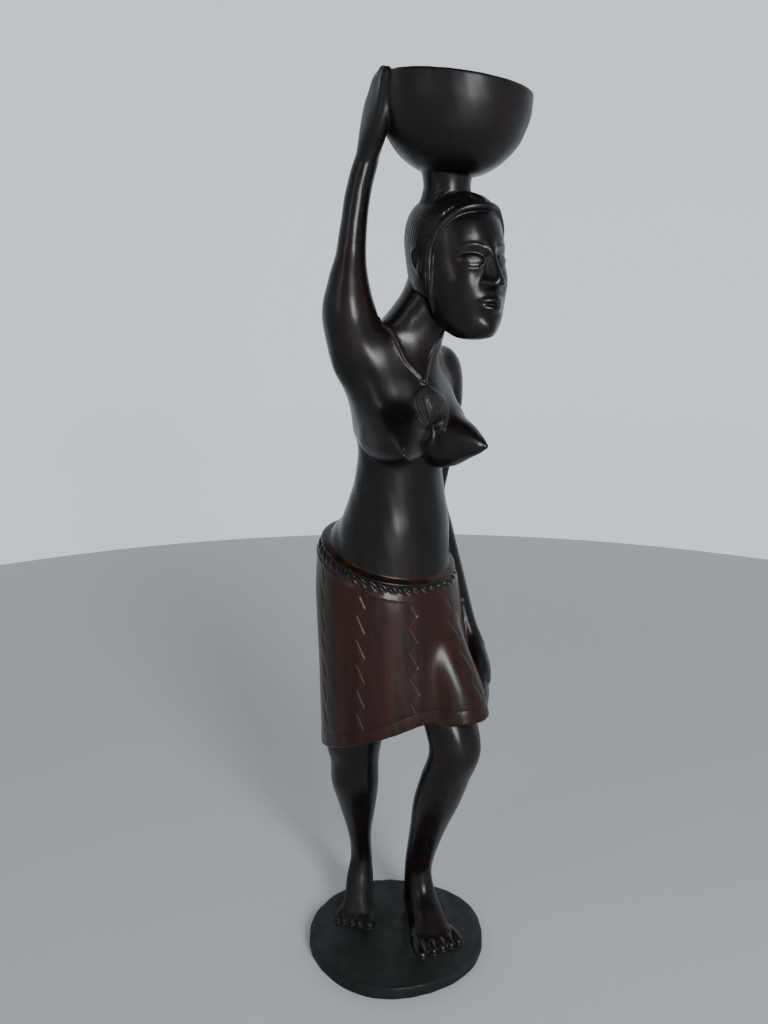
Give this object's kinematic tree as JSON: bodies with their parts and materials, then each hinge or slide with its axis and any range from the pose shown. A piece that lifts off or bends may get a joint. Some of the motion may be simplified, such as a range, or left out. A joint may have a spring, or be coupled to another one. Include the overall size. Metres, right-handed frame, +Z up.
{
  "type": "carved wooden female figure with bowl",
  "caption": "Standing woman carved in dark wood who steadies a hollow bowl on her head, with a wrap skirt and a round base, all cut from one block.",
  "frame": {"origin": "middle of the base's flat underside", "axes": "+Z up; the figure stands facing -Y with +X towards its left hand"},
  "size_m": [0.2094, 0.203, 0.895],
  "materials": {
    "dark_wood": "near-black stained hardwood with reddish-brown tints, hand polished to a soft gloss, matt on the base"
  },
  "bodies": {
    "root": {"statue": "dark_wood"}
  },
  "joints": []
}
